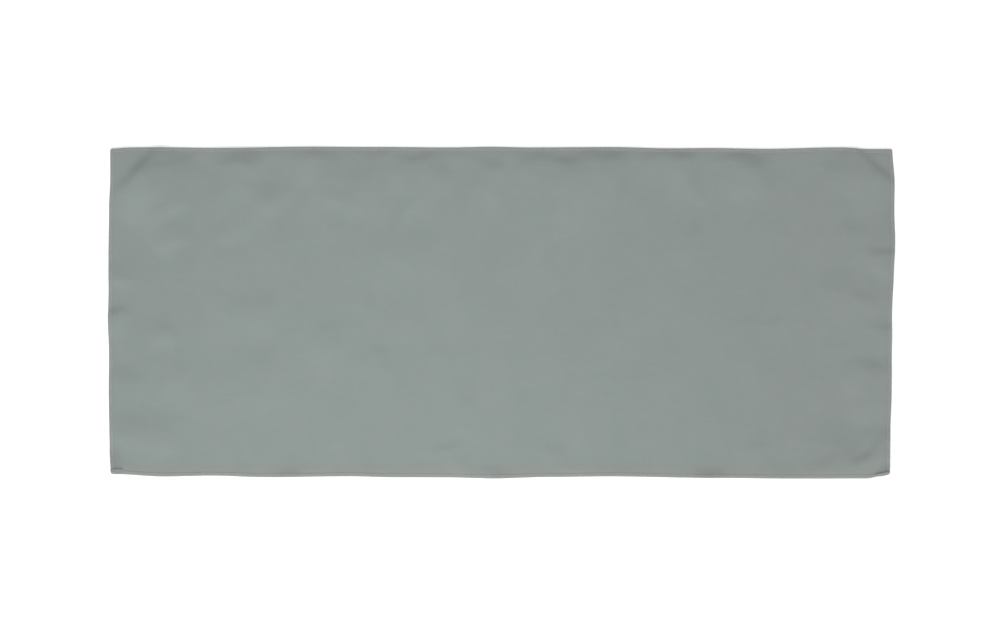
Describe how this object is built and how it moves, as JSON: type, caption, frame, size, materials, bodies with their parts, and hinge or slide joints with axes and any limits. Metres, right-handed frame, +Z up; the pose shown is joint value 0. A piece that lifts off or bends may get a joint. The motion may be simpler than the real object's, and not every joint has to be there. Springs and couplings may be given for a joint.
{
  "type": "sports towel",
  "caption": "Thin microfibre sports towel: one long rectangle with an overlocked edge, lying flat and slightly rumpled.",
  "frame": {"origin": "centre of the ground that the towel covers, at the height of the surface it lies on", "axes": "+X along the towel's length, +Y across it, +Z up from the surface through the cloth"},
  "size_m": [0.8042, 0.3392, 0.0058],
  "materials": {
    "cloth": "matte, fine microfibre"
  },
  "bodies": {
    "root": {"towel": "cloth"}
  },
  "joints": []
}
